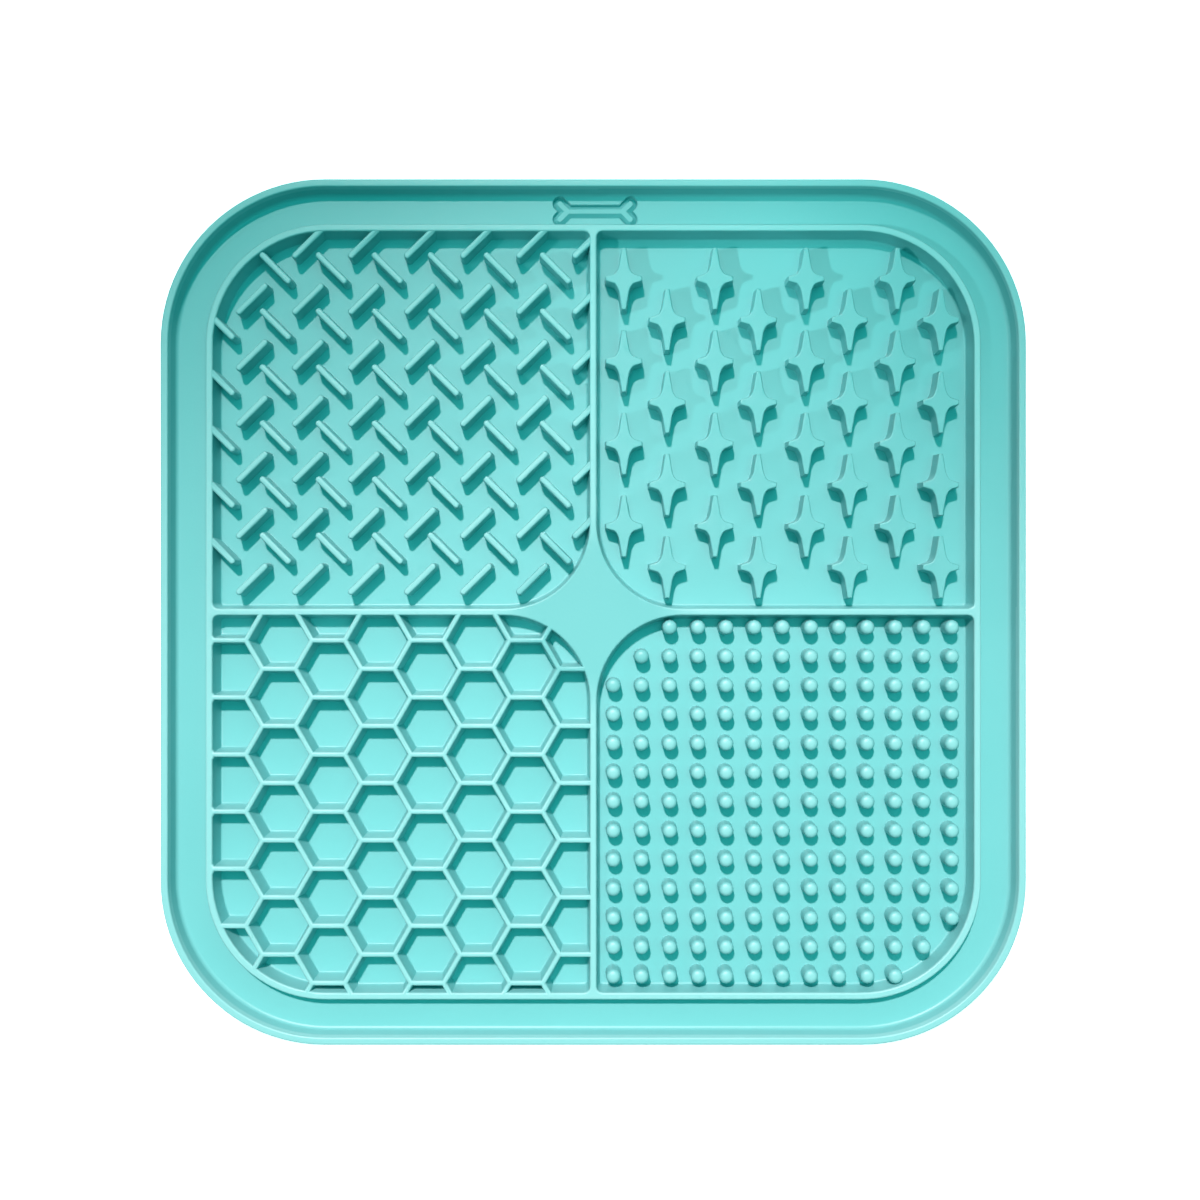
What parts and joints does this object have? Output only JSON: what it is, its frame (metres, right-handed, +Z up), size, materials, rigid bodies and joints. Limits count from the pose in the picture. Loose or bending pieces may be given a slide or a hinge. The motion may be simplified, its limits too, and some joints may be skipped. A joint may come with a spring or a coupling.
{
  "type": "lick mat",
  "caption": "Square one-piece moulded lick mat for a pet, with a raised lip, a border channel and wells with bars, stars, honeycomb cells and round dots.",
  "frame": {"origin": "on the flat underside, below the middle of the mat", "axes": "+Z up, out of the patterned side; +Y towards the side of the border that carries the bone emblem; +X to the right of it"},
  "size_m": [0.2, 0.2, 0.008],
  "materials": {
    "silicone": "matt moulded silicone rubber, turquoise"
  },
  "bodies": {
    "root": {"mat": "silicone"}
  },
  "joints": []
}
